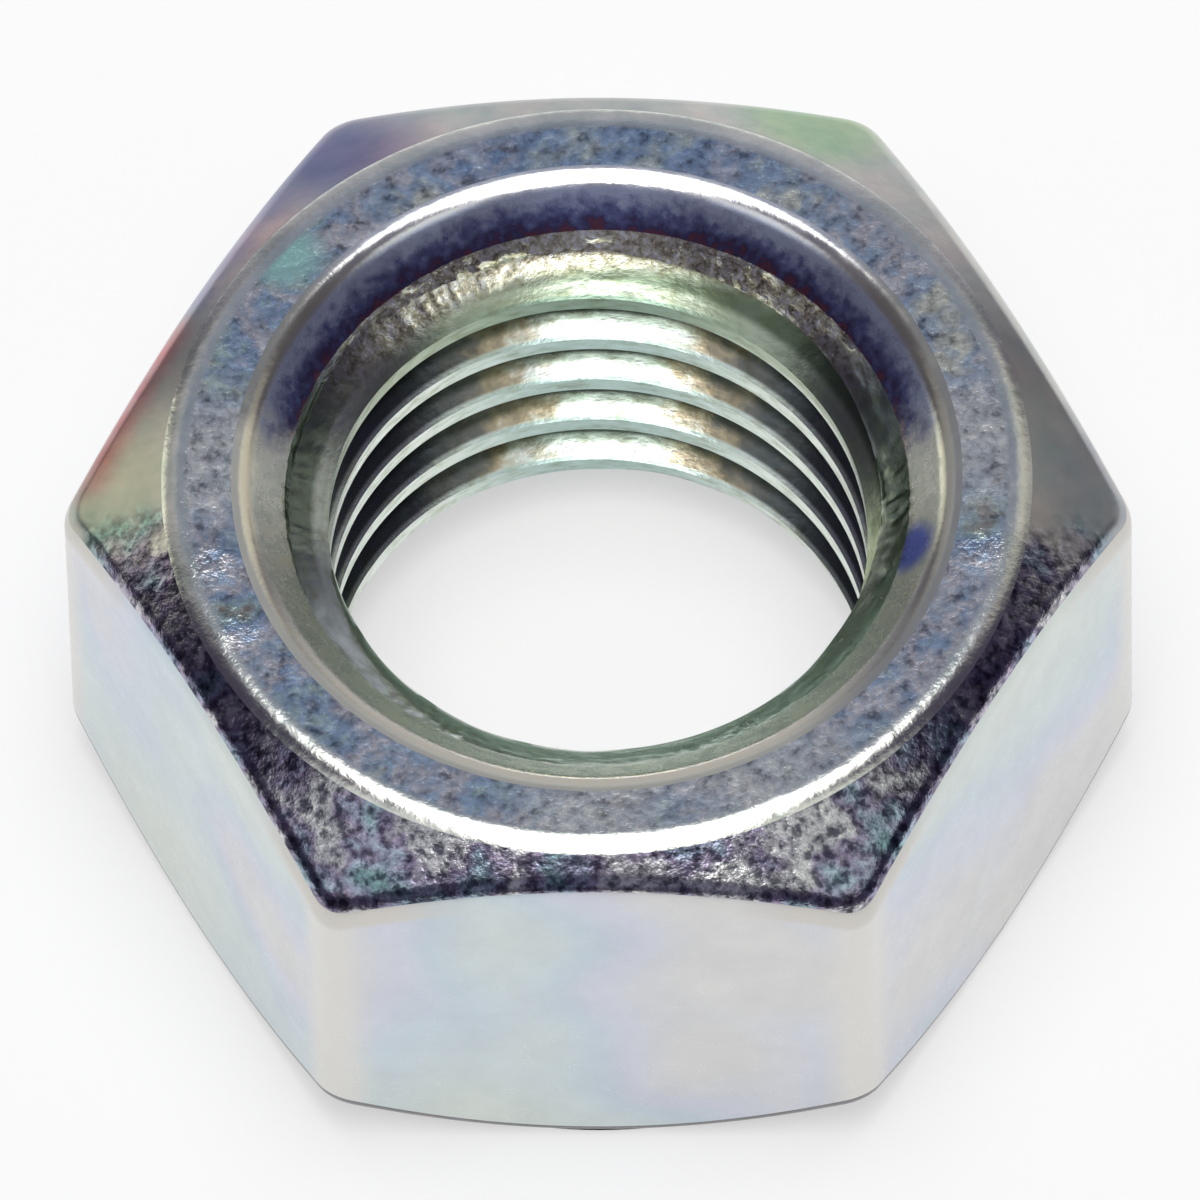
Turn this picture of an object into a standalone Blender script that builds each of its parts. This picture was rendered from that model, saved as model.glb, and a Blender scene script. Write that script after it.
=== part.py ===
"""A finished M16 hex nut: one forged and tapped piece of steel with a zinc plate.

The nut stands on its bottom bearing face. The origin is the centre of that face, +Z is the thread's axis,
and two of the six wrench flats face +Y and -Y. Sizes are in metres.
"""

import math

import bmesh
import bpy
from mathutils import Matrix

# Hexagon
ACROSS_FLATS = 0.0240
THICKNESS = 0.0130
SIDE_EDGE_RADIUS = 0.0009

# Rims where the bearing faces meet the cones that chamfer the hexagon's corners, before rounding
TOP_RIM_RADIUS = 0.01089
TOP_RIM_ROUNDING = 0.0011
TOP_CHAMFER_ANGLE = math.radians(33)
BOTTOM_RIM_RADIUS = 0.01168
BOTTOM_RIM_ROUNDING = 0.0009
BOTTOM_CHAMFER_ANGLE = math.radians(38)

# Softened edges between the cones and the wrench flats, as widths on either side of the edge
TOP_EDGE_WIDTH = 0.00052
BOTTOM_EDGE_WIDTH = 0.00026
CHAMFER_EDGE_ANGLE = math.radians(48)

# Bore and thread, M16 x 2, right-handed
THREAD_DIAMETER = 0.0160
PITCH = 0.0020
MINOR_DIAMETER = 0.01384
FLANK_ANGLE = math.radians(30)
ROOT_FLAT = PITCH / 8
GROOVE_PHASE = math.radians(247)

# Countersinks at both ends of the bore
TOP_MOUTH_RADIUS = 0.00900
BOTTOM_MOUTH_RADIUS = 0.00880
MOUTH_ROUNDING = 0.0009
COUNTERSINK_ANGLE = math.radians(45)

# Facets
TURNED_STEPS = 72
THREAD_STEPS = 72
ROUNDING_STEPS = 4

CORNER_RADIUS = ACROSS_FLATS / math.sqrt(3)
MARGIN = 0.0010
CUTTER_OVERLAP = 0.0003
MERGE_DISTANCE = 0.00001
SHARP_ANGLE = math.radians(25)


def clear_scene():
    for item in list(bpy.data.objects):
        bpy.data.objects.remove(item, do_unlink=True)


def new_collection(name):
    collection = bpy.data.collections.new(name)
    bpy.context.scene.collection.children.link(collection)
    return collection


def new_object(name, mesh, collection):
    item = bpy.data.objects.new(name, mesh)
    collection.objects.link(item)
    return item


def polyline_mesh(name, points, closed):
    """Edges through (radius, height) points in the XZ plane, ready for a Screw modifier."""
    bm = bmesh.new()
    verts = [bm.verts.new((radius, 0, height)) for radius, height in points]
    pairs = list(zip(verts, verts[1:]))
    if closed:
        pairs.append((verts[-1], verts[0]))
    for pair in pairs:
        bm.edges.new(pair)
    mesh = bpy.data.meshes.new(name)
    bm.to_mesh(mesh)
    bm.free()
    return mesh


def add_screw(item, steps, turns=1, rise=0.0):
    screw = item.modifiers.new("turn", "SCREW")
    screw.steps = steps
    screw.render_steps = steps
    screw.iterations = turns
    screw.screw_offset = rise
    screw.use_merge_vertices = rise == 0.0
    screw.merge_threshold = MERGE_DISTANCE
    return screw


def rounded_corner(before, corner, after, radius):
    """Points of an arc of the given radius that replaces a corner of an outline."""
    into = math.atan2(before[1] - corner[1], before[0] - corner[0])
    out = math.atan2(after[1] - corner[1], after[0] - corner[0])
    half = ((out - into + math.pi) % (2 * math.pi) - math.pi) / 2
    middle = into + half
    centre_distance = radius / math.sin(abs(half))
    centre = (
        corner[0] + centre_distance * math.cos(middle),
        corner[1] + centre_distance * math.sin(middle),
    )
    sweep = math.copysign(math.pi / 2 - abs(half), half)
    points = []
    for step in range(ROUNDING_STEPS + 1):
        angle = middle + math.pi + sweep * (1 - 2 * step / ROUNDING_STEPS)
        points.append((centre[0] + radius * math.cos(angle), centre[1] + radius * math.sin(angle)))
    return points


def rounded_outline(corners):
    """A closed outline from (point, rounding radius) corners, where radius 0 keeps the corner sharp."""
    points = []
    for index, (corner, radius) in enumerate(corners):
        if radius == 0:
            points.append(corner)
            continue
        before = corners[index - 1][0]
        after = corners[(index + 1) % len(corners)][0]
        points += rounded_corner(before, corner, after, radius)
    return points


def turned_section():
    """The closed section of the blank: bearing faces, chamfers, countersinks and bore."""
    outside = CORNER_RADIUS + MARGIN
    top_drop = (outside - TOP_RIM_RADIUS) * math.tan(TOP_CHAMFER_ANGLE)
    bottom_rise = (outside - BOTTOM_RIM_RADIUS) * math.tan(BOTTOM_CHAMFER_ANGLE)
    bore = MINOR_DIAMETER / 2
    sink = math.tan(COUNTERSINK_ANGLE)
    return rounded_outline([
        ((TOP_MOUTH_RADIUS, THICKNESS), MOUTH_ROUNDING),
        ((TOP_RIM_RADIUS, THICKNESS), TOP_RIM_ROUNDING),
        ((outside, THICKNESS - top_drop), 0),
        ((outside, bottom_rise), 0),
        ((BOTTOM_RIM_RADIUS, 0.0), BOTTOM_RIM_ROUNDING),
        ((BOTTOM_MOUTH_RADIUS, 0.0), MOUTH_ROUNDING),
        ((bore, (BOTTOM_MOUTH_RADIUS - bore) * sink), 0),
        ((bore, THICKNESS - (TOP_MOUTH_RADIUS - bore) * sink), 0),
    ])


def make_turned_blank(collection):
    mesh = polyline_mesh("turned_blank", turned_section(), closed=True)
    blank = new_object("turned_blank", mesh, collection)
    add_screw(blank, TURNED_STEPS)
    return blank


def make_hexagon_prism(name, collection):
    """A hexagonal prism a little taller than the nut, with its six side edges rounded."""
    bm = bmesh.new()
    turn = Matrix.Rotation(math.radians(30), 4, "Z")
    lift = Matrix.Translation((0, 0, THICKNESS / 2))
    bmesh.ops.create_cone(
        bm,
        cap_ends=True,
        segments=6,
        radius1=CORNER_RADIUS,
        radius2=CORNER_RADIUS,
        depth=THICKNESS + 2 * MARGIN,
        matrix=lift @ turn,
    )
    side_edges = [edge for edge in bm.edges if abs(edge.verts[0].co.z - edge.verts[1].co.z) > THICKNESS]
    bmesh.ops.bevel(
        bm,
        geom=side_edges,
        offset=SIDE_EDGE_RADIUS * math.tan(math.radians(30)),
        offset_type="OFFSET",
        segments=ROUNDING_STEPS,
        profile=0.5,
        affect="EDGES",
    )
    mesh = bpy.data.meshes.new(name)
    bm.to_mesh(mesh)
    bm.free()
    return new_object(name, mesh, collection)


def evaluated_bmesh(item):
    """The object's mesh with its modifiers applied, ready for editing."""
    bpy.context.view_layer.update()
    depsgraph = bpy.context.evaluated_depsgraph_get()
    bm = bmesh.new()
    bm.from_mesh(bpy.data.meshes.new_from_object(item.evaluated_get(depsgraph)))
    return bm


def replace_mesh(item, bm):
    """Gives the object the edited mesh in place of its own mesh and modifiers."""
    mesh = bpy.data.meshes.new(item.name)
    bm.to_mesh(mesh)
    bm.free()
    item.modifiers.clear()
    item.data = mesh


def chamfer_edges(bm, top):
    """The edges along which one end's chamfer cone meets the sides of the hexagon."""
    edges = []
    for edge in bm.edges:
        middle = (edge.verts[0].co + edge.verts[1].co) / 2
        outside = middle.xy.length > TOP_RIM_RADIUS
        at_end = (middle.z > THICKNESS / 2) == top
        if outside and at_end and edge.calc_face_angle() > CHAMFER_EDGE_ANGLE:
            edges.append(edge)
    return edges


def soften_chamfer_edges(nut):
    bm = evaluated_bmesh(nut)
    bmesh.ops.remove_doubles(bm, verts=bm.verts, dist=MERGE_DISTANCE)
    for top, width in ((True, TOP_EDGE_WIDTH), (False, BOTTOM_EDGE_WIDTH)):
        bmesh.ops.bevel(
            bm,
            geom=chamfer_edges(bm, top),
            offset=width,
            offset_type="OFFSET",
            segments=ROUNDING_STEPS,
            profile=0.5,
            affect="EDGES",
        )
    replace_mesh(nut, bm)


def groove_section():
    """The thread groove's section, from its root flat inwards to inside the bore."""
    root = THREAD_DIAMETER / 2
    inner = MINOR_DIAMETER / 2 - CUTTER_OVERLAP
    half_root = ROOT_FLAT / 2
    half_inner = half_root + (root - inner) * math.tan(FLANK_ANGLE)
    return [(root, half_root), (root, -half_root), (inner, -half_inner), (inner, half_inner)]


def make_thread_cutter(collection):
    """A helical bar, one turn per pitch, that passes right through the bore."""
    mesh = polyline_mesh("groove_profile", groove_section(), closed=True)
    cutter = new_object("thread_cutter", mesh, collection)
    turns = math.ceil(THICKNESS / PITCH) + 2
    add_screw(cutter, THREAD_STEPS, turns=turns, rise=PITCH)
    bm = evaluated_bmesh(cutter)
    bmesh.ops.holes_fill(bm, edges=[edge for edge in bm.edges if edge.is_boundary], sides=4)
    bmesh.ops.recalc_face_normals(bm, faces=bm.faces)
    replace_mesh(cutter, bm)
    cutter.rotation_euler.z = GROOVE_PHASE
    cutter.location.z = -PITCH
    return cutter


def add_boolean(item, operation, other):
    boolean = item.modifiers.new(other.name, "BOOLEAN")
    boolean.operation = operation
    boolean.object = other
    boolean.solver = "EXACT"


def hide_cutters(collection):
    for item in collection.objects:
        item.hide_render = True
        item.display_type = "WIRE"


def zinc_material():
    """Bright zinc plate with a clear blue passivate."""
    material = bpy.data.materials.new("zinc_plate")
    material.use_nodes = True
    shader = material.node_tree.nodes["Principled BSDF"]
    shader.inputs["Base Color"].default_value = (0.60, 0.62, 0.63, 1.0)
    shader.inputs["Metallic"].default_value = 1.0
    shader.inputs["Roughness"].default_value = 0.32
    return material


def make_nut(parts, cutters):
    nut = make_hexagon_prism("nut_body", parts)
    add_boolean(nut, "INTERSECT", make_turned_blank(cutters))
    soften_chamfer_edges(nut)
    add_boolean(nut, "DIFFERENCE", make_thread_cutter(cutters))
    nut.data.materials.append(zinc_material())
    nut.data.shade_smooth()
    nut.data.set_sharp_from_angle(angle=SHARP_ANGLE)
    return nut


def main():
    clear_scene()
    parts = new_collection("hex_nut")
    cutters = new_collection("cutters")
    make_nut(parts, cutters)
    hide_cutters(cutters)


main()
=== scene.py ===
"""A zinc plated M16 hex nut standing on a pale floor under one overhead softbox.

The visible nut is one mesh without open edges, in metres, in the frame: +Z is the thread's axis, the bottom
bearing face is at the frame's lowest height, and two of the wrench flats face +Y and -Y.
"""

import math

import bmesh
import bpy
import numpy as np
from mathutils import Matrix, Vector, noise


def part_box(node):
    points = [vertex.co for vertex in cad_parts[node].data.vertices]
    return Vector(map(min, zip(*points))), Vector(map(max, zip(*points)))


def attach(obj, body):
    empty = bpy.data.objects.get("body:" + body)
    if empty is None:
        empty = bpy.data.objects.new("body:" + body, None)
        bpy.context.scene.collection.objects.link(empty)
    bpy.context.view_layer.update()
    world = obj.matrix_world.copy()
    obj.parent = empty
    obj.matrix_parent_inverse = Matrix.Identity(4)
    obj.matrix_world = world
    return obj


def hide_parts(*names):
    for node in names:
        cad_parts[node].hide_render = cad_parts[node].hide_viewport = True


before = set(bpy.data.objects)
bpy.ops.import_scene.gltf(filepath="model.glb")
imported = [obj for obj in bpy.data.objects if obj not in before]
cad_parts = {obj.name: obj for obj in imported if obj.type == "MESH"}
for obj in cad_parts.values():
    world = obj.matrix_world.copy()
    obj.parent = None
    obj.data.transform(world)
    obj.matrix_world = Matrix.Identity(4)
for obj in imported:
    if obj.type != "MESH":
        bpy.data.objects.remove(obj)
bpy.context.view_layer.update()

# The hexagon, from the frame
LOW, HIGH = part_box("nut_body")
BOTTOM = LOW[2]
TOP = HIGH[2]
HALF_FLATS = (HIGH[1] - LOW[1]) / 2
SHARP_CORNER = HALF_FLATS / math.cos(math.pi / 6)
SIDE_EDGE_RADIUS = (SHARP_CORNER - HIGH[0]) / (1 / math.cos(math.pi / 6) - 1)

# Top rim, the cone that chamfers the hexagon's corners, and the fillets between that cone and the flats
TOP_RIM_RADIUS = 0.01089
TOP_RIM_ROUNDING = 0.0011
TOP_CHAMFER_ANGLE = math.radians(33)
TOP_FLAT_FILLET = 0.00093
TOP_CORNER_FILLET = 0.00115

# The same at the bottom. Known fault: at the flats' middles this rounding and fillet are together 0.12 mm
# too wide for the cone, so the mesh folds over itself there
BOTTOM_RIM_RADIUS = 0.01168
BOTTOM_RIM_ROUNDING = 0.0009
BOTTOM_CHAMFER_ANGLE = math.radians(38)
BOTTOM_FLAT_FILLET = 0.0005
BOTTOM_CORNER_FILLET = 0.0007

# Countersinks
TOP_MOUTH_RADIUS = 0.00900
BOTTOM_MOUTH_RADIUS = 0.00880
MOUTH_ROUNDING = 0.0009
COUNTERSINK_ANGLE = math.radians(45)

# M16 x 2 thread, right-handed
MAJOR_RADIUS = 0.0080
MINOR_RADIUS = 0.00692
PITCH = 0.0020
CREST_FLAT = PITCH / 4
ROOT_FLAT = PITCH / 8
CREST_HEIGHT_AT_BACK = 0.00013

# Torn metal where the first turn runs out into the top countersink
BURR_RADIUS = 0.00765
BURR_WIDTH = 0.00045
BURR_DEPTH = 0.00014
BURR_REACH = 0.0021
BURR_WAVES = 3600.0
FINE_BURR_WAVES = 8000.0

# Unevenness of the surface, as noise scales and depths
WIDE_WAVES = 330.0
WIDE_DEPTH = 0.000010
FINE_WAVES = 1500.0
FINE_DEPTH = 0.000004
FINE_OFFSET = Vector((7.0, 3.0, 5.0))

# Mesh density
COLUMNS_PER_CORNER = 60
TOP_DENSITY = 7
BOTTOM_DENSITY = 4
SIDE_ROWS = 28
FLANK_ROWS = 7
MERGE_DISTANCE = 0.000002
SHARP_ANGLE = math.radians(40)

# Camera, at the photo's angle
CAMERA_ELEVATION = math.radians(59.07)
CAMERA_YAW = math.radians(1.64)
CAMERA_ROLL = math.radians(-1.45)
CAMERA_DISTANCE = 0.96
CAMERA_LENS = 1117.9
AIM_HEIGHT = 0.00648
AIM_RISE = 0.000182

# The softbox overhead, each edge as (full light, no light) in sideways distance per unit of height
SOFTBOX_SIDES = (0.18, 0.36)
SOFTBOX_FRONT = (-0.50, -0.63)
SOFTBOX_BACK = (0.20, 0.34)
SOFTBOX_LIGHT = 5.7

# Room and background. A glow is (azimuth, elevation, full within, none beyond, colour), in degrees
ROOM_LIGHT = (0.058, 0.050, 0.084)
BACKDROP = (0.955, 0.955, 0.960)
FLOOR_RADIUS = 3.0
FLOOR_GREY = 0.46
FLOOR_GLOW = 0.55
ROOM_GLOWS = [
    (90.0, 58.0, 14.0, 34.0, (0.19, 0.22, 0.265)),
    (137.0, 41.0, 6.0, 18.0, (0.34, 0.34, 0.31)),
    (43.0, 41.0, 6.0, 18.0, (0.50, 0.49, 0.42)),
    (90.0, 5.0, 12.0, 45.0, (0.40, 0.41, 0.43)),
    (149.0, 18.0, 7.0, 15.0, (1.00, 1.00, 0.80)),
    (33.0, 18.0, 7.0, 15.0, (0.34, 0.34, 0.30)),
    (217.0, 49.0, 3.0, 17.0, (0.72, 0.75, 0.74)),
    (323.0, 49.0, 3.0, 17.0, (0.74, 0.78, 0.72)),
    (31.0, 2.0, 4.0, 13.0, (0.26, 0.28, 0.24)),
    (270.0, 31.0, 8.0, 24.0, (0.15, 0.16, 0.19)),
]

# Finishes, in the order of the mesh's material slots
FACE, CHAMFER, FLATS, THREAD, SINK = range(5)
TOP_FINISH_TILT = math.radians(29)
WHITE = (1.0, 1.0, 1.0)

# Distances from the axis over which a colour or finish sets in or ends
FACE_END = TOP_RIM_RADIUS - TOP_RIM_ROUNDING * math.tan(TOP_CHAMFER_ANGLE / 2)
RIM_STARTS = (FACE_END - 0.00010, FACE_END + 0.00008)
CORNER_STARTS = (0.01320, 0.01368)
SHOULDER_STARTS = (0.0122, 0.0131)
MOUTH_STARTS = (0.00878, 0.00894)
SINK_SHADE_CLIMB = (0.00790, 0.00885)
CREST_SHADE_ENDS = (0.00698, 0.00706)
GROOVE_STAIN_AND_SHADE_STARTS = (0.00698, 0.00708)
ROOT_SHADE_STARTS = (0.00722, 0.00744)

# Heights over which a colour or finish sets in or ends
LOW_CHAMFER_SHADE_ENDS = (0.0030, 0.0050)
TOP_CHAMFER_STARTS = (0.0050, 0.0065)
BAND_STARTS = (TOP - 0.0035, TOP - 0.0031)
BAND_ENDS = (TOP - 0.0024, TOP - 0.0020)
STAIN_AND_SHADE_ENDS = (TOP - 0.0038, TOP - 0.0030)

# Marks on the top face
DENTS = [(0.0099, -0.0020, TOP), (-0.0098, -0.0025, TOP), (-0.0091, -0.0044, TOP)]
PALE_PATCHES = [
    (-0.0101, 0.0006, TOP),
    (0.0, -0.0100, TOP),
    (0.0045, -0.0090, TOP),
    (0.0102, 0.0010, TOP),
]
BLUE_PATCH = (0.0, 0.0104, TOP)
TEAL_PATCH = (-0.0081, 0.0067, TOP)

# Places of the interference colours on the top chamfer
RED_EDGE = [
    (-0.0131, 0.0010, 0.0116),
    (-0.0126, 0.0019, 0.0118),
    (-0.0121, 0.0028, 0.0120),
    (-0.0116, 0.0037, 0.0121),
    (-0.0111, 0.0046, 0.0122),
]
LILAC_EDGE = [(-0.0104, 0.0059, 0.0122), (-0.0096, 0.0072, 0.0122), (-0.0088, 0.0086, 0.0121)]
PURPLE_CORNER = [(-0.0068, 0.0102, 0.0122)]
PINK_BY_RIM = [(-0.0052, 0.0098, 0.0128), (-0.0085, 0.0072, 0.0128)]
GREEN_CORNER = [(0.0056, 0.0114, 0.0122)]
GREY_BACK = [(-0.0012, 0.0120, 0.0127)]
OLIVE_CORNER = [(-0.0126, 0.0, 0.0117)]
STEEL_CORNER = [(0.0130, 0.0006, 0.0116)]

# Those colours, as (points, full within, none beyond, colour)
CHAMFER_TINTS = [
    (RED_EDGE, 0.0003, 0.0012, (1.00, 0.62, 0.66)),
    (LILAC_EDGE, 0.0003, 0.0013, (0.74, 0.76, 1.00)),
    (PURPLE_CORNER, 0.0006, 0.0034, (0.30, 0.32, 0.60)),
    (PINK_BY_RIM, 0.0004, 0.0022, (1.00, 0.84, 0.86)),
    (GREEN_CORNER, 0.0010, 0.0026, (0.74, 1.00, 0.72)),
    (GREY_BACK, 0.0020, 0.0045, (0.80, 0.84, 0.86)),
    (OLIVE_CORNER, 0.0010, 0.0030, (0.84, 0.86, 0.76)),
    (STEEL_CORNER, 0.0008, 0.0030, (0.66, 0.72, 0.80)),
]

# A blue spot in the top countersink
BLUE_SPOT = [(0.0081, -0.0017, 0.0122)]


# ---------------------------------------------------------------- nut mesh

def column_angles():
    """Azimuths of the mesh's columns, closer together round the hexagon's six corners."""
    steps = np.arange(COLUMNS_PER_CORNER) * 2.0 / COLUMNS_PER_CORNER - 1.0
    local = math.pi / 6 * (0.5 * steps + 0.5 * steps**3)
    return np.concatenate([corner * math.pi / 3 + local for corner in range(6)])


def hexagon_radius(angles):
    """Distance from the axis to the rounded hexagon, along each azimuth."""
    from_corner = (angles + math.pi / 6) % (math.pi / 3) - math.pi / 6
    from_flat = math.pi / 6 - np.abs(from_corner)
    flat = HALF_FLATS / np.cos(from_flat)
    centre = (HALF_FLATS - SIDE_EDGE_RADIUS) / math.cos(math.pi / 6)
    across = SIDE_EDGE_RADIUS**2 - (centre * np.sin(from_corner)) ** 2
    rounded = centre * np.cos(from_corner) + np.sqrt(np.maximum(across, 0.0))
    tangent = math.atan(math.tan(math.pi / 6) * (1 - SIDE_EDGE_RADIUS / HALF_FLATS))
    return np.where(from_flat < tangent, flat, rounded)


def fillet_radius(reach, at_flat, at_corner):
    """Fillet between a chamfer cone and the hexagon, wider at the corners than at each flat's middle."""
    share = (reach - HALF_FLATS) / (reach.max() - HALF_FLATS)
    return at_flat + (at_corner - at_flat) * share


def countersink_rows(columns, mouth_radius, density):
    """The countersink's cone and the rounding of its mouth."""
    rows = []
    half_sink = MOUTH_ROUNDING * math.tan(COUNTERSINK_ANGLE / 2)
    sink_end = mouth_radius - half_sink * math.cos(COUNTERSINK_ANGLE)
    sink_depth = half_sink * math.sin(COUNTERSINK_ANGLE)
    for step in range(density):
        part = step / density
        radius = MAJOR_RADIUS + (sink_end - MAJOR_RADIUS) * part
        depth = sink_depth + (sink_end - radius) * math.tan(COUNTERSINK_ANGLE)
        rows.append((radius * columns, depth * columns, SINK))
    centre = mouth_radius + half_sink
    for step in range(2 * density):
        angle = COUNTERSINK_ANGLE * (1 - step / (2 * density))
        radius = centre - MOUTH_ROUNDING * math.sin(angle)
        rows.append((radius * columns, MOUTH_ROUNDING * (1 - math.cos(angle)) * columns, SINK))
    return rows


def face_rows(columns, face_start, face_end, rim_rounding, chamfer, density):
    """The flat bearing face and the rounding of its rim."""
    rows = []
    for step in range(density):
        radius = face_start + (face_end - face_start) * step / density
        rows.append((radius * columns, 0.0 * columns, FACE))
    for step in range(2 * density):
        angle = chamfer * step / (2 * density)
        radius = face_end + rim_rounding * math.sin(angle)
        rows.append((radius * columns, rim_rounding * (1 - math.cos(angle)) * columns, FACE))
    return rows


def chamfer_rows(reach, cone_start, cone_depth, chamfer, fillet, flat_tilt, density):
    """The cone, and the fillet between it and the hexagon's side.

    Where the fillet is within flat_tilt of upright it has the flats' finish.
    """
    rows = []
    turn = math.pi / 2 - chamfer
    tangent = fillet * math.tan(turn / 2)
    edge_depth = cone_depth + (reach - cone_start) * math.tan(chamfer)
    fillet_start = reach - tangent * math.cos(chamfer)
    for step in range(density):
        radius = cone_start + (fillet_start - cone_start) * step / density
        rows.append((radius, cone_depth + (radius - cone_start) * math.tan(chamfer), CHAMFER))
    for step in range(3 * density + 1):
        angle = turn * (1 - step / (3 * density))
        radius = reach - fillet * (1 - np.cos(angle))
        depth = edge_depth + tangent - fillet * np.sin(angle)
        rows.append((radius, depth, FLATS if angle < flat_tilt else CHAMFER))
    return rows


def chamfered_end(reach, mouth_radius, rim_radius, rim_rounding, chamfer, fillets, flat_tilt, density):
    """Rows from the countersink's thread end to the hexagon's side, as (radius, depth, finish).

    Depth is measured from the bearing face. The fillets are the radii at a flat's middle and at a corner.
    """
    columns = np.ones_like(reach)
    face_start = mouth_radius + MOUTH_ROUNDING * math.tan(COUNTERSINK_ANGLE / 2)
    face_end = rim_radius - rim_rounding * math.tan(chamfer / 2)
    cone_start = face_end + rim_rounding * math.sin(chamfer)
    cone_depth = rim_rounding * (1 - math.cos(chamfer))
    fillet = fillet_radius(reach, *fillets)
    sink = countersink_rows(columns, mouth_radius, density)
    face = face_rows(columns, face_start, face_end, rim_rounding, chamfer, density)
    cone = chamfer_rows(reach, cone_start, cone_depth, chamfer, fillet, flat_tilt, density)
    return sink + face + cone


def side_rows(above, below, count):
    """Rows down the hexagon's side, between the last row of the top and of the bottom."""
    rows = []
    for step in range(1, count):
        part = step / count
        radius = above[0] + (below[0] - above[0]) * part
        height = above[1] + (below[1] - above[1]) * part
        rows.append((radius, height, FLATS))
    return rows


def outer_rows(angles):
    """(radius, height, finish) rows over the outside, from the top end of the thread to its bottom end."""
    reach = hexagon_radius(angles)
    top_fillets = (TOP_FLAT_FILLET, TOP_CORNER_FILLET)
    bottom_fillets = (BOTTOM_FLAT_FILLET, BOTTOM_CORNER_FILLET)
    top = chamfered_end(reach, TOP_MOUTH_RADIUS, TOP_RIM_RADIUS, TOP_RIM_ROUNDING,
                        TOP_CHAMFER_ANGLE, top_fillets, TOP_FINISH_TILT, TOP_DENSITY)
    bottom = chamfered_end(reach, BOTTOM_MOUTH_RADIUS, BOTTOM_RIM_RADIUS, BOTTOM_RIM_ROUNDING,
                           BOTTOM_CHAMFER_ANGLE, bottom_fillets, 0.0, BOTTOM_DENSITY)
    top = [(radius, TOP - depth, finish) for radius, depth, finish in top]
    bottom = [(radius, BOTTOM + depth, finish) for radius, depth, finish in reversed(bottom)]
    return top + side_rows(top[-1], bottom[0], SIDE_ROWS) + bottom


def thread_radius(rise):
    """Radius of the thread's surface at a height above the nearest crest's middle line."""
    from_crest = np.abs((rise + PITCH / 2) % PITCH - PITCH / 2)
    flank = (PITCH - CREST_FLAT - ROOT_FLAT) / 2
    depth = np.clip((from_crest - CREST_FLAT / 2) / flank, 0.0, 1.0)
    return MINOR_RADIUS + (MAJOR_RADIUS - MINOR_RADIUS) * depth


def pitch_steps():
    """Heights of the mesh's rows within one pitch, with a row at each edge of the crest and root."""
    crest = CREST_FLAT / 2
    root = (PITCH - ROOT_FLAT) / 2
    rise = np.concatenate([[0.0, crest / 2], np.linspace(crest, root, FLANK_ROWS), [PITCH / 2]])
    return np.concatenate([rise, PITCH - rise[-2:0:-1]])


def bore_rows(angles, low, high):
    """(radius, height) rows that follow the helix from the bottom junction circle to the top one."""
    lift = PITCH * angles / (2 * math.pi)
    back_lift = PITCH / 4
    crest = BOTTOM + CREST_HEIGHT_AT_BACK - back_lift
    first = math.floor((low - PITCH - crest) / PITCH) - 1
    last = math.ceil((high - crest) / PITCH) + 1
    rows = []
    for turn in range(first, last + 1):
        for step in pitch_steps():
            height = crest + turn * PITCH + step + lift
            clipped = np.clip(height, low, high)
            radius = thread_radius(clipped - crest - lift)
            top_cone = TOP_MOUTH_RADIUS - (TOP - clipped) / math.tan(COUNTERSINK_ANGLE)
            bottom_cone = BOTTOM_MOUTH_RADIUS - (clipped - BOTTOM) / math.tan(COUNTERSINK_ANGLE)
            radius = np.maximum(radius, np.maximum(top_cone, bottom_cone))
            at_end = (clipped <= low) | (clipped >= high)
            rows.append((np.where(at_end, MAJOR_RADIUS, radius), clipped))
    return rows


def outer_faces(outer, count):
    """Quads between the outside's rows, and each quad's finish."""
    faces, finishes = [], []
    for row in range(len(outer) - 1):
        for column in range(count):
            after = (column + 1) % count
            faces.append((row * count + column, (row + 1) * count + column,
                          (row + 1) * count + after, row * count + after))
            finishes.append(outer[row][2])
    return faces, finishes


def bore_faces(base, rows, count):
    """Quads between the bore's rows. Across the seam each row meets the row one pitch further on."""
    faces = []
    turn = len(pitch_steps())
    last = rows - 1
    for row in range(last):
        for column in range(count):
            after = column + 1
            near, far = row, row + 1
            if after == count:
                after = 0
                near, far = min(row + turn, last), min(row + 1 + turn, last)
            faces.append(((base + row) * count + column, (base + row + 1) * count + column,
                          (base + far) * count + after, (base + near) * count + after))
    return faces


def nut_mesh():
    angles = column_angles()
    outer = outer_rows(angles)
    high = float(outer[0][1][0])
    low = float(outer[-1][1][0])
    bore = bore_rows(angles, low, high)
    count = len(angles)
    points = []
    for radius, height in [row[:2] for row in outer] + bore:
        points.append(np.stack([radius * np.cos(angles), radius * np.sin(angles), height], 1))
    points = np.concatenate(points)
    faces, finishes = outer_faces(outer, count)
    thread = bore_faces(len(outer), len(bore), count)
    faces += thread
    finishes += [THREAD] * len(thread)
    mesh = bpy.data.meshes.new("hex_nut")
    mesh.from_pydata(points.tolist(), [], faces)
    mesh.polygons.foreach_set("material_index", finishes)
    bm = bmesh.new()
    bm.from_mesh(mesh)
    bmesh.ops.remove_doubles(bm, verts=bm.verts, dist=MERGE_DISTANCE)
    bmesh.ops.dissolve_degenerate(bm, edges=bm.edges, dist=MERGE_DISTANCE)
    bmesh.ops.recalc_face_normals(bm, faces=bm.faces)
    bm.to_mesh(mesh)
    bm.free()
    return mesh


def burr_share(radius, depth):
    """How torn the tap left the metal: most where the first turn runs out into the top countersink."""
    if depth > BURR_REACH or radius > MAJOR_RADIUS + BURR_WIDTH:
        return 0.0
    return max(0.0, 1.0 - abs(radius - BURR_RADIUS) / BURR_WIDTH)


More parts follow.
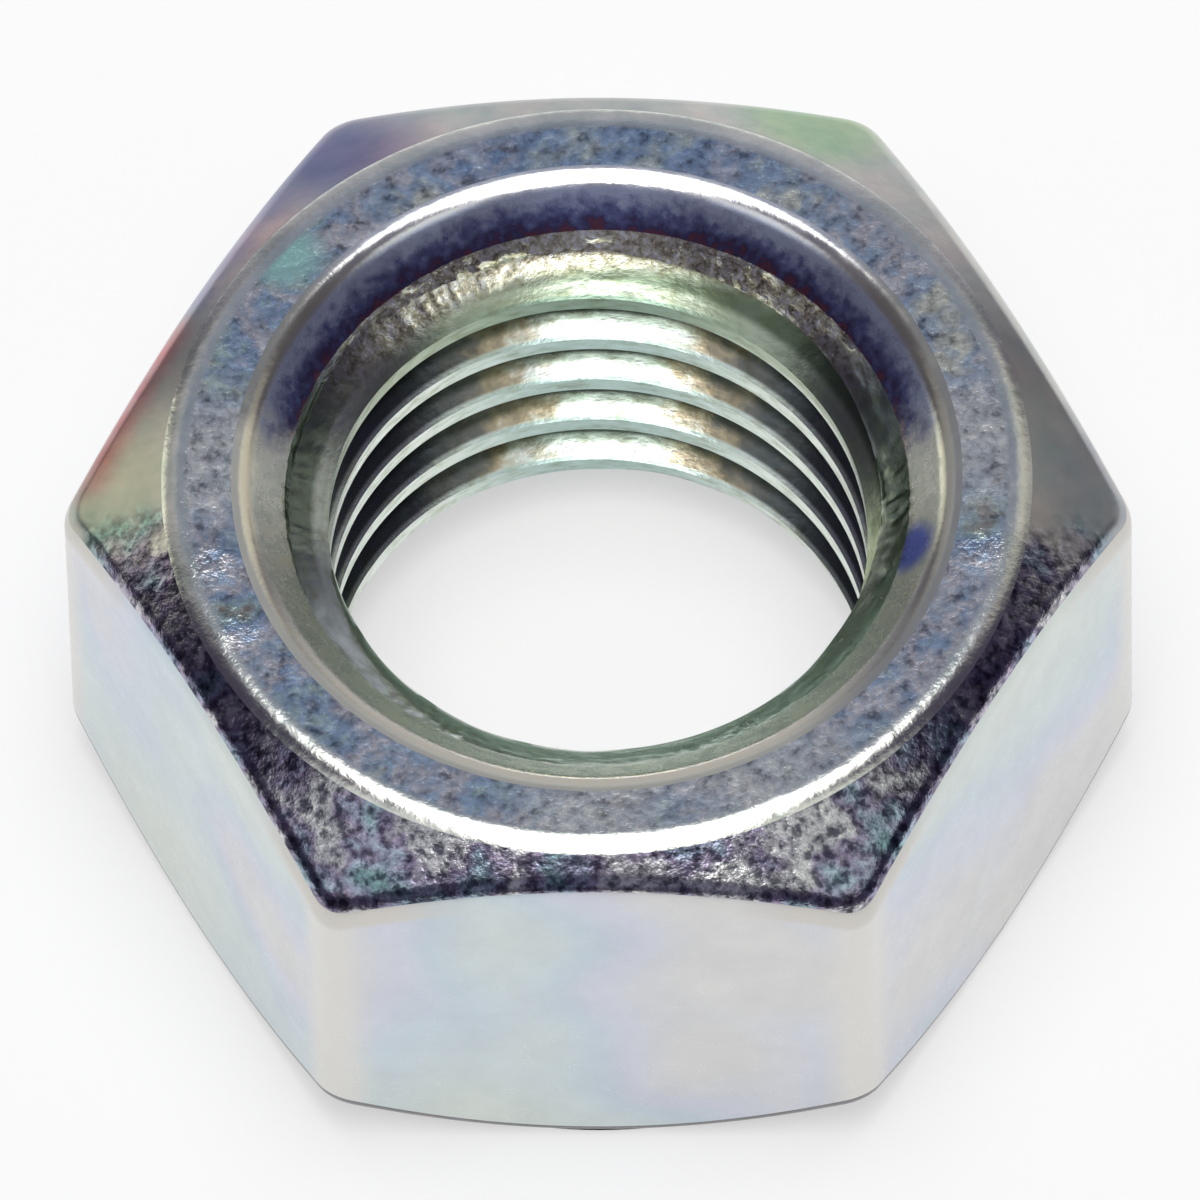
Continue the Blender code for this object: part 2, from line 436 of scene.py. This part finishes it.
def roughen(mesh):
    """Lowers the surface a little by noise, so that the faces wave like forged and barrel-plated ones."""
    normals = [vertex.normal.copy() for vertex in mesh.vertices]
    for vertex, normal in zip(mesh.vertices, normals):
        place = vertex.co
        wide = 0.5 + 0.5 * noise.noise(place * WIDE_WAVES)
        fine = 0.5 + 0.5 * noise.noise(place * FINE_WAVES + FINE_OFFSET)
        vertex.co = place - normal * (WIDE_DEPTH * wide + FINE_DEPTH * fine)
        radius = math.hypot(place.x, place.y)
        share = burr_share(radius, TOP - place.z)
        if share > 0.0:
            torn = abs(noise.noise(place * BURR_WAVES)) + 0.6 * abs(noise.noise(place * FINE_BURR_WAVES))
            outward = Vector((place.x, place.y, 0.0)) / radius
            vertex.co += outward * BURR_DEPTH * share * torn


# ---------------------------------------------------------------- materials

def noise_node(tree, vector, scale, detail=4.0, roughness=0.55, offset=0.0):
    """A noise field. The offset moves it, so that fields of one material don't repeat each other."""
    if offset:
        shift = tree.nodes.new("ShaderNodeVectorMath")
        shift.operation = "ADD"
        tree.links.new(vector, shift.inputs[0])
        shift.inputs[1].default_value = (offset, offset, offset)
        vector = shift.outputs[0]
    node = tree.nodes.new("ShaderNodeTexNoise")
    tree.links.new(vector, node.inputs["Vector"])
    node.inputs["Scale"].default_value = scale
    node.inputs["Detail"].default_value = detail
    node.inputs["Roughness"].default_value = roughness
    return node.outputs["Fac"]


def ramp(tree, factor, stops):
    """Colours along a field, from (position, colour) stops."""
    node = tree.nodes.new("ShaderNodeValToRGB")
    tree.links.new(factor, node.inputs["Fac"])
    elements = node.color_ramp.elements
    while len(elements) < len(stops):
        elements.new(0.5)
    for element, (position, colour) in zip(elements, stops):
        element.position = position
        element.color = (*colour, 1.0)
    return node.outputs["Color"]


def map_range(tree, value, low, high, to_low=0.0, to_high=1.0, kind="SMOOTHSTEP"):
    """A value rescaled from the range low to high onto to_low to to_high, and clamped there."""
    node = tree.nodes.new("ShaderNodeMapRange")
    node.interpolation_type = kind
    tree.links.new(value, node.inputs["Value"])
    for name, number in (("From Min", low), ("From Max", high), ("To Min", to_low), ("To Max", to_high)):
        node.inputs[name].default_value = number
    return node.outputs["Result"]


def mix(tree, factor, first, second, blend="MIX"):
    """Two colours blended. The factor and the colours can be sockets or plain values."""
    node = tree.nodes.new("ShaderNodeMix")
    node.data_type = "RGBA"
    node.blend_type = blend
    sockets = {socket.identifier: socket for socket in node.inputs}
    for name, value in (("Factor_Float", factor), ("A_Color", first), ("B_Color", second)):
        if isinstance(value, bpy.types.NodeSocket):
            tree.links.new(value, sockets[name])
        elif name == "Factor_Float":
            sockets[name].default_value = value
        else:
            sockets[name].default_value = (*value, 1.0)
    return next(socket for socket in node.outputs if socket.identifier == "Result_Color")


def math_node(tree, operation, first, second):
    """One arithmetic operation on two sockets or numbers."""
    node = tree.nodes.new("ShaderNodeMath")
    node.operation = operation
    for socket, value in zip(node.inputs, (first, second)):
        if isinstance(value, bpy.types.NodeSocket):
            tree.links.new(value, socket)
        else:
            socket.default_value = value
    return node.outputs[0]


def multiply(tree, first, second):
    return math_node(tree, "MULTIPLY", first, second)


def shade(tree, base, colour):
    """The base multiplied by a colour."""
    return mix(tree, 1.0, base, colour, "MULTIPLY")


def shade_where(tree, share, base, colour):
    """The base multiplied by a colour to the extent of a share."""
    return mix(tree, share, base, shade(tree, base, colour))


def centred(tree, field, width):
    """A noise field moved to vary about zero and scaled by a width."""
    return multiply(tree, math_node(tree, "SUBTRACT", field, 0.5), width)


def coordinates(tree, place):
    """The X, Y and Z sockets of a vector."""
    split = tree.nodes.new("ShaderNodeSeparateXYZ")
    tree.links.new(place, split.inputs[0])
    return split.outputs


def spot(tree, place, point, inner, outer):
    """1 within inner of a point on the nut, falling to 0 at outer."""
    node = tree.nodes.new("ShaderNodeVectorMath")
    node.operation = "DISTANCE"
    tree.links.new(place, node.inputs[0])
    node.inputs[1].default_value = point
    return map_range(tree, node.outputs["Value"], inner, outer, 1.0, 0.0)


def start_material(name):
    """A new metal, with its node tree, its shader and the place on the nut as a vector."""
    material = bpy.data.materials.new(name)
    material.use_nodes = True
    tree = material.node_tree
    shader = tree.nodes["Principled BSDF"]
    shader.inputs["Metallic"].default_value = 1.0
    place = tree.nodes.new("ShaderNodeTexCoord").outputs["Object"]
    return material, tree, shader, place


def add_bump(tree, shader, heights):
    """Chains bumps of (height socket, depth in metres, strength) onto the shader."""
    normal = None
    for height, depth, strength in heights:
        node = tree.nodes.new("ShaderNodeBump")
        node.inputs["Strength"].default_value = strength
        node.inputs["Distance"].default_value = depth
        tree.links.new(height, node.inputs["Height"])
        if normal:
            tree.links.new(normal, node.inputs["Normal"])
        normal = node.outputs["Normal"]
    tree.links.new(normal, shader.inputs["Normal"])


def axis_distance(tree, place):
    """Distance of each point from the thread's axis."""
    flat = tree.nodes.new("ShaderNodeVectorMath")
    flat.operation = "MULTIPLY"
    tree.links.new(place, flat.inputs[0])
    flat.inputs[1].default_value = (1.0, 1.0, 0.0)
    length = tree.nodes.new("ShaderNodeVectorMath")
    length.operation = "LENGTH"
    tree.links.new(flat.outputs[0], length.inputs[0])
    return length.outputs["Value"]


def tint(tree, place, base, points, inner, outer, colour):
    """Multiplies the base by a colour round each of some points on the nut."""
    for point in points:
        base = shade_where(tree, spot(tree, place, point, inner, outer), base, colour)
    return base


def mottled_face(tree, place, grains):
    """The bearing face's colour: patches of a blue film on pitted grey, paler or tinted in a few places."""
    patches = noise_node(tree, place, 420.0, detail=4.0, roughness=0.6, offset=0.3)
    light = ramp(tree, grains, [
        (0.34, (0.22, 0.22, 0.25)),
        (0.44, (0.60, 0.61, 0.64)),
        (0.58, (0.84, 0.85, 0.87)),
        (0.70, WHITE),
    ])
    film = ramp(tree, patches, [
        (0.28, (0.46, 0.40, 0.33)),
        (0.34, (0.56, 0.68, 0.62)),
        (0.41, (0.42, 0.54, 0.68)),
        (0.48, (0.74, 0.70, 0.68)),
        (0.56, (0.46, 0.57, 0.68)),
        (0.66, (0.86, 0.84, 0.68)),
    ])
    mottled = shade(tree, film, light)
    mottled = tint(tree, place, mottled, [BLUE_PATCH], 0.0025, 0.0065, (0.78, 0.86, 0.98))
    pale = shade(tree, light, (0.92, 0.90, 0.80))
    for point in PALE_PATCHES:
        share = multiply(tree, spot(tree, place, point, 0.0006, 0.0032), 0.7)
        mottled = mix(tree, share, mottled, pale)
    teal = spot(tree, place, TEAL_PATCH, 0.0004, 0.0014)
    return mix(tree, teal, mottled, (0.44, 0.72, 0.64))


def dented(tree, place, grains):
    """The grains with deep nicks added at the dents."""
    nicks = noise_node(tree, place, 3800.0, detail=3.0, roughness=0.7, offset=0.9)
    for point in DENTS:
        share = multiply(tree, spot(tree, place, point, 0.0003, 0.0009), 2.5)
        grains = math_node(tree, "ADD", grains, multiply(tree, share, nicks))
    return grains


def face_material():
    """Bearing faces: slate-blue mottled zinc with pits and dents, smoother and warmer on the rim."""
    material, tree, shader, place = start_material("zinc_face")
    grains = noise_node(tree, place, 2300.0, detail=6.0, roughness=0.72)
    worn = noise_node(tree, place, 900.0, detail=4.0, offset=0.7)
    fine = noise_node(tree, place, 5200.0, detail=4.0, roughness=0.7, offset=0.1)
    radius = axis_distance(tree, place)
    rim = map_range(tree, radius, *RIM_STARTS)
    warm = ramp(tree, worn, [(0.35, (0.66, 0.70, 0.64)), (0.65, (0.88, 0.87, 0.80))])
    base = mix(tree, rim, mottled_face(tree, place, grains), warm)
    tree.links.new(base, shader.inputs["Base Color"])
    tree.links.new(map_range(tree, rim, 0.0, 1.0, 0.24, 0.15, "LINEAR"), shader.inputs["Roughness"])
    pits = dented(tree, place, grains)
    add_bump(tree, shader, [(pits, 0.000015, 0.9), (fine, 0.000004, 0.8), (worn, 0.000030, 0.9)])
    return material


def coarse_shaded_share(tree, north, height, patches):
    """1 over the front half of the top's chamfer, with a ragged border, and 0 elsewhere: there the chamfer
    is coarse and darkened with painted shade.
    """
    backward = math_node(tree, "ADD", north, centred(tree, patches, 0.0040))
    front = map_range(tree, backward, -0.0022, -0.0006, 1.0, 0.0)
    return multiply(tree, front, map_range(tree, height, *TOP_CHAMFER_STARTS))


def satin_chamfer(tree, grains, patches):
    """Grey-green to brown, nearly plain metal."""
    satin = ramp(tree, patches, [
        (0.34, (0.52, 0.56, 0.53)),
        (0.66, (0.66, 0.61, 0.57)),
    ])
    return shade(tree, satin, ramp(tree, grains, [(0.3, (0.86, 0.86, 0.88)), (0.7, WHITE)]))


def forged_shaded_chamfer(tree, grains, patches, specks):
    """Speckled metal with teal, blue and violet patches, much darker overall than the satin colour: painted
    shade.
    """
    light = ramp(tree, grains, [
        (0.34, (0.40, 0.38, 0.44)),
        (0.50, (0.68, 0.68, 0.74)),
        (0.68, WHITE),
    ])
    film = ramp(tree, patches, [
        (0.34, (0.40, 0.62, 0.60)),
        (0.42, (0.64, 0.76, 0.84)),
        (0.50, (0.54, 0.46, 0.60)),
        (0.58, (0.96, 0.96, 0.90)),
    ])
    contrast = ramp(tree, specks, [
        (0.38, (0.20, 0.20, 0.24)),
        (0.47, (0.62, 0.62, 0.65)),
        (0.58, WHITE),
    ])
    return shade(tree, shade(tree, film, light), contrast)


def chamfer_material():
    """Forged cones that chamfer the corners: coarse and darkened with painted shade over the top's front
    half, satin elsewhere, and darkened with painted shade towards the bottom.
    """
    material, tree, shader, place = start_material("zinc_chamfer")
    grains = noise_node(tree, place, 1700.0, detail=6.0, roughness=0.68)
    patches = noise_node(tree, place, 640.0, detail=3.5, offset=0.5)
    specks = noise_node(tree, place, 3300.0, detail=3.0, roughness=0.6, offset=0.2)
    east, north, height = coordinates(tree, place)
    coarse = coarse_shaded_share(tree, north, height, patches)
    satin = satin_chamfer(tree, grains, patches)
    forged = forged_shaded_chamfer(tree, grains, patches, specks)
    # Painted shade: the front half of the top's chamfer takes the much darker forged colour.
    base = mix(tree, coarse, satin, forged)
    for points, inner, outer, colour in CHAMFER_TINTS:
        base = tint(tree, place, base, points, inner, outer, colour)
    # Painted shade: the colour darkens towards the bottom, in place of the floor's contact shadow along the
    # bottom edge.
    low_painted_shade = map_range(tree, height, *LOW_CHAMFER_SHADE_ENDS, 1.0, 0.0)
    base = shade_where(tree, low_painted_shade, base, (0.36, 0.36, 0.40))
    tree.links.new(base, shader.inputs["Base Color"])
    tree.links.new(map_range(tree, coarse, 0.0, 1.0, 0.27, 0.17, "LINEAR"), shader.inputs["Roughness"])
    sideways = math_node(tree, "ABSOLUTE", east, 0.0)
    torn = multiply(tree, coarse, map_range(tree, sideways, 0.0010, 0.0045, 0.35, 1.0))
    rough_grains = multiply(tree, grains, map_range(tree, torn, 0.0, 1.0, 0.20, 1.0))
    rough_specks = multiply(tree, specks, torn)
    add_bump(tree, shader, [(rough_grains, 0.000024, 0.9), (rough_specks, 0.000024, 0.9)])
    return material


def flats_material():
    """Wrench flats: satin zinc with the faint colours of a clear chromate film, beige at the edges."""
    material, tree, shader, place = start_material("zinc_flats")
    wide = noise_node(tree, place, 110.0, detail=1.5)
    film = ramp(tree, wide, [
        (0.32, (0.66, 0.71, 0.67)),
        (0.42, (0.62, 0.69, 0.69)),
        (0.49, (0.57, 0.65, 0.71)),
        (0.55, (0.63, 0.65, 0.73)),
        (0.64, (0.68, 0.68, 0.67)),
    ])
    haze = noise_node(tree, place, 700.0, detail=5.0, offset=0.4)
    dull = ramp(tree, haze, [(0.30, (0.92, 0.92, 0.93)), (0.70, WHITE)])
    base = shade(tree, film, dull)
    reach = axis_distance(tree, place)
    corner = map_range(tree, reach, *CORNER_STARTS)
    base = mix(tree, corner, base, (0.70, 0.69, 0.66))
    height = coordinates(tree, place)["Z"]
    along_cone = math_node(tree, "ADD", height, multiply(tree, reach, math.tan(TOP_CHAMFER_ANGLE)))
    cone_line = TOP + TOP_RIM_RADIUS * math.tan(TOP_CHAMFER_ANGLE)
    shoulder = map_range(tree, along_cone, cone_line - 0.0009, cone_line - 0.0006)
    shoulder = multiply(tree, shoulder, map_range(tree, reach, *SHOULDER_STARTS))
    base = mix(tree, shoulder, base, (0.62, 0.60, 0.56))
    tree.links.new(base, shader.inputs["Base Color"])
    grain = noise_node(tree, place, 2400.0, detail=4.0)
    tree.links.new(map_range(tree, grain, 0.3, 0.7, 0.34, 0.26, "LINEAR"), shader.inputs["Roughness"])
    add_bump(tree, shader, [(grain, 0.000003, 0.7)])
    return material


def stained_and_shaded_thread(tree, place, base):
    """The far half's marks: roots darkened with painted shade, grooves with brown stains that deepen to
    black painted shade towards the sides, and crests tinted blue-grey and dimmed with painted shade near
    the middle.
    """
    east, north, height = coordinates(tree, place)
    radius = axis_distance(tree, place)
    far_half = map_range(tree, north, -0.0040, 0.0)
    # Painted shade: the far half's roots are darkened.
    root = multiply(tree, map_range(tree, radius, *ROOT_SHADE_STARTS), far_half)
    base = shade_where(tree, root, base, (0.34, 0.38, 0.34))
    sideways = math_node(tree, "ABSOLUTE", east, 0.0)
    blotches = noise_node(tree, place, 900.0, detail=4.0, roughness=0.65, offset=0.6)
    blotched = math_node(tree, "ADD", sideways, centred(tree, blotches, 0.0050))
    reach = map_range(tree, blotched, 0.0, 0.0060, kind="LINEAR")
    # Brown stains in the grooves, deepening to black painted shade towards the sides.
    stain_and_shade = ramp(tree, reach, [
        (0.24, WHITE),
        (0.42, (0.60, 0.47, 0.35)),
        (0.58, (0.26, 0.24, 0.24)),
        (0.80, (0.17, 0.18, 0.20)),
    ])
    groove_stain_and_shade = multiply(tree, map_range(tree, radius, *GROOVE_STAIN_AND_SHADE_STARTS), far_half)
    below_first = map_range(tree, height, *STAIN_AND_SHADE_ENDS, 1.0, 0.15)
    base = shade_where(tree, multiply(tree, groove_stain_and_shade, below_first), base, stain_and_shade)
    # Painted shade: near the middle of the far half the crests are dimmed and tinted blue-grey.
    crest = multiply(tree, map_range(tree, radius, *CREST_SHADE_ENDS, 1.0, 0.0), far_half)
    crest = multiply(tree, crest, map_range(tree, sideways, 0.0010, 0.0052, 1.0, 0.0))
    return shade_where(tree, crest, base, (0.55, 0.65, 0.67))


def torn_colour(tree, grit):
    """Torn metal: straw-coloured grit with dark hollows."""
    return ramp(tree, grit, [
        (0.36, (0.34, 0.31, 0.22)),
        (0.45, (0.68, 0.63, 0.46)),
        (0.54, (0.88, 0.86, 0.72)),
        (0.62, (1.00, 1.00, 0.97)),
    ])


def thread_material():
    """Tapped thread: bright flanks with fine marks, stained and darkened with painted shade in the far
    half.

    The back of the first turn is torn and gritty, and a darker band runs below that turn.
    """
    material, tree, shader, place = start_material("zinc_thread")
    stretch = tree.nodes.new("ShaderNodeMapping")
    stretch.inputs["Scale"].default_value = (1.0, 1.0, 3.0)
    tree.links.new(place, stretch.inputs["Vector"])
    marks = noise_node(tree, stretch.outputs["Vector"], 1500.0, detail=5.0, roughness=0.6)
    base = ramp(tree, marks, [
        (0.30, (0.50, 0.53, 0.42)),
        (0.48, (0.70, 0.78, 0.70)),
        (0.70, (0.84, 0.90, 0.86)),
    ])
    base = stained_and_shaded_thread(tree, place, base)
    _, north, height = coordinates(tree, place)
    above_band = map_range(tree, height, *BAND_ENDS)
    first_turn = multiply(tree, above_band, map_range(tree, north, 0.0025, 0.0060))
    grit = noise_node(tree, place, 4200.0, detail=4.0, roughness=0.7)
    base = mix(tree, first_turn, base, torn_colour(tree, grit))
    band_foot = map_range(tree, height, *BAND_STARTS)
    band_head = map_range(tree, height, *BAND_ENDS, 1.0, 0.0)
    base = shade_where(tree, multiply(tree, band_foot, band_head), base, (0.56, 0.60, 0.50))
    tree.links.new(base, shader.inputs["Base Color"])
    tree.links.new(map_range(tree, marks, 0.3, 0.7, 0.28, 0.18, "LINEAR"), shader.inputs["Roughness"])
    rough_grit = multiply(tree, grit, first_turn)
    add_bump(tree, shader, [(marks, 0.000016, 0.9), (rough_grit, 0.00002, 0.9)])
    return material


def countersink_film_and_shade(tree, place, radius, mottle, back):
    """Navy film at the back, darkened with painted shade that is deepest by the thread, and straw-coloured
    metal in front.
    """
    fine = noise_node(tree, place, 2900.0, detail=4.0, roughness=0.6, offset=0.8)
    shade_climb = map_range(tree, radius, *SINK_SHADE_CLIMB, kind="LINEAR")
    rise = math_node(tree, "ADD", shade_climb, centred(tree, fine, 1.1))
    navy_and_shade = ramp(tree, rise, [
        (0.10, (0.16, 0.06, 0.09)),
        (0.22, (0.07, 0.06, 0.15)),
        (0.50, (0.16, 0.18, 0.36)),
        (0.85, (0.52, 0.58, 0.74)),
    ])
    straw = ramp(tree, mottle, [
        (0.32, (0.62, 0.66, 0.58)),
        (0.50, (0.84, 0.86, 0.76)),
        (0.68, (1.00, 0.96, 0.82)),
    ])
    film = mix(tree, back, straw, navy_and_shade)
    return tint(tree, place, film, BLUE_SPOT, 0.0004, 0.0010, (0.22, 0.28, 1.00))


def mouth_edge_and_shade(tree, east, north, back):
    """The rounded mouth: straw in front, greyer to the right, brown at the sides and pale at the back; the
    brown is painted shade that keeps the softbox's highlight short.
    """
    right = map_range(tree, east, 0.0045, 0.0075)
    far = map_range(tree, north, 0.0050, 0.0078)
    front_edge = mix(tree, right, (0.86, 0.82, 0.66), (0.50, 0.49, 0.44))
    # Painted shade: the back's sides are darkened to brown.
    back_edge_and_shade = mix(tree, far, (0.48, 0.46, 0.40), (0.82, 0.82, 0.84))
    return mix(tree, back, front_edge, back_edge_and_shade)


def sink_material():
    """Countersinks and their rounded mouths: blue and darkened with painted shade at the back, straw in
    front, shinier at the mouth.
    """
    material, tree, shader, place = start_material("zinc_sink")
    shader.inputs["Metallic"].default_value = 0.86
    mottle = noise_node(tree, place, 1300.0, detail=6.0, roughness=0.62)
    radius = axis_distance(tree, place)
    east, north, _ = coordinates(tree, place)
    backward = math_node(tree, "ADD", north, centred(tree, mottle, 0.0030))
    # Painted shade: the back half takes the dark navy colour, the front the bright straw one.
    back = map_range(tree, backward, 0.0009, 0.0024)
    film = countersink_film_and_shade(tree, place, radius, mottle, back)
    edge = mouth_edge_and_shade(tree, east, north, back)
    ring = map_range(tree, radius, *MOUTH_STARTS)
    tree.links.new(mix(tree, ring, film, edge), shader.inputs["Base Color"])
    cone_finish = map_range(tree, mottle, 0.3, 0.7, 0.32, 0.22, "LINEAR")
    ring_finish = map_range(tree, ring, 0.0, 1.0, 0.0, 0.12, "LINEAR")
    tree.links.new(math_node(tree, "SUBTRACT", cone_finish, ring_finish), shader.inputs["Roughness"])
    add_bump(tree, shader, [(mottle, 0.000016, 0.8)])
    return material


FINISH_MAKERS = [face_material, chamfer_material, flats_material, thread_material, sink_material]


def make_nut():
    mesh = nut_mesh()
    roughen(mesh)
    for make_material in FINISH_MAKERS:
        mesh.materials.append(make_material())
    mesh.shade_smooth()
    mesh.set_sharp_from_angle(angle=SHARP_ANGLE)
    nut = bpy.data.objects.new("hex_nut_body", mesh)
    bpy.context.scene.collection.objects.link(nut)
    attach(nut, "root")
    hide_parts("nut_body")
    return nut


# ---------------------------------------------------------------- stage, light and camera

def make_floor():
    bm = bmesh.new()
    bmesh.ops.create_circle(bm, cap_ends=True, segments=64, radius=FLOOR_RADIUS)
    mesh = bpy.data.meshes.new("floor")
    bm.to_mesh(mesh)
    bm.free()
    floor = bpy.data.objects.new("floor", mesh)
    floor.location.z = BOTTOM
    bpy.context.scene.collection.objects.link(floor)
    material = bpy.data.materials.new("floor_paper")
    material.use_nodes = True
    shader = material.node_tree.nodes["Principled BSDF"]
    shader.inputs["Base Color"].default_value = (FLOOR_GREY, FLOOR_GREY, FLOOR_GREY, 1.0)
    shader.inputs["Emission Color"].default_value = (1.0, 1.0, 0.99, 1.0)
    shader.inputs["Emission Strength"].default_value = FLOOR_GLOW
    shader.inputs["Roughness"].default_value = 1.0
    shader.inputs["Specular IOR Level"].default_value = 0.0
    mesh.materials.append(material)


def glow(tree, direction, azimuth, elevation, inner, outer, colour):
    """Light of a colour from a round patch of the surroundings, as a colour socket."""
    toward = (
        math.cos(math.radians(elevation)) * math.cos(math.radians(azimuth)),
        math.cos(math.radians(elevation)) * math.sin(math.radians(azimuth)),
        math.sin(math.radians(elevation)),
    )
    dot = tree.nodes.new("ShaderNodeVectorMath")
    dot.operation = "DOT_PRODUCT"
    tree.links.new(direction, dot.inputs[0])
    dot.inputs[1].default_value = toward
    none_beyond = math.cos(math.radians(outer))
    full_within = math.cos(math.radians(inner))
    share = map_range(tree, dot.outputs["Value"], none_beyond, full_within)
    return mix(tree, share, (0.0, 0.0, 0.0), colour)


def make_world():
    """A dim room with one softbox overhead and faint glows, and a plain pale background for the camera."""
    world = bpy.data.worlds.new("studio")
    bpy.context.scene.world = world
    world.use_nodes = True
    tree = world.node_tree
    tree.nodes.clear()
    direction = tree.nodes.new("ShaderNodeTexCoord").outputs["Generated"]
    east, north, up = coordinates(tree, direction)
    upward = math_node(tree, "MAXIMUM", up, 0.001)
    across = math_node(tree, "DIVIDE", east, upward)
    along = math_node(tree, "DIVIDE", north, upward)
    across_far = math_node(tree, "ABSOLUTE", across, 0.0)
    side = map_range(tree, across_far, *SOFTBOX_SIDES, 1.0, 0.0)
    front = map_range(tree, along, *reversed(SOFTBOX_FRONT))
    back = map_range(tree, along, *SOFTBOX_BACK, 1.0, 0.0)
    softbox = multiply(tree, multiply(tree, side, front), back)
    light = mix(tree, softbox, ROOM_LIGHT, (SOFTBOX_LIGHT, SOFTBOX_LIGHT, SOFTBOX_LIGHT))
    for patch in ROOM_GLOWS:
        light = mix(tree, 1.0, light, glow(tree, direction, *patch), "ADD")
    path = tree.nodes.new("ShaderNodeLightPath")
    shown = mix(tree, path.outputs["Is Camera Ray"], light, BACKDROP)
    background = tree.nodes.new("ShaderNodeBackground")
    tree.links.new(shown, background.inputs["Color"])
    output = tree.nodes.new("ShaderNodeOutputWorld")
    tree.links.new(background.outputs[0], output.inputs["Surface"])


def make_camera():
    back = Vector((
        math.sin(CAMERA_YAW) * math.cos(CAMERA_ELEVATION),
        -math.cos(CAMERA_YAW) * math.cos(CAMERA_ELEVATION),
        math.sin(CAMERA_ELEVATION),
    ))
    level = Vector((math.cos(CAMERA_YAW), math.sin(CAMERA_YAW), 0.0))
    upright = back.cross(level)
    right = math.cos(CAMERA_ROLL) * level + math.sin(CAMERA_ROLL) * upright
    up = -math.sin(CAMERA_ROLL) * level + math.cos(CAMERA_ROLL) * upright
    centre = Vector((0.0, 0.0, BOTTOM + AIM_HEIGHT)) + up * AIM_RISE
    place = Matrix((right, up, back)).transposed().to_4x4()
    place.translation = centre + back * CAMERA_DISTANCE
    data = bpy.data.cameras.new("camera")
    data.sensor_width = 36.0
    data.lens = CAMERA_LENS
    data.clip_start = 0.01
    camera = bpy.data.objects.new("camera", data)
    camera.matrix_world = place
    bpy.context.scene.collection.objects.link(camera)
    bpy.context.scene.camera = camera


make_camera()
make_world()
make_floor()
make_nut()
bpy.context.scene.view_settings.view_transform = "Standard"

bpy.context.view_layer.update()
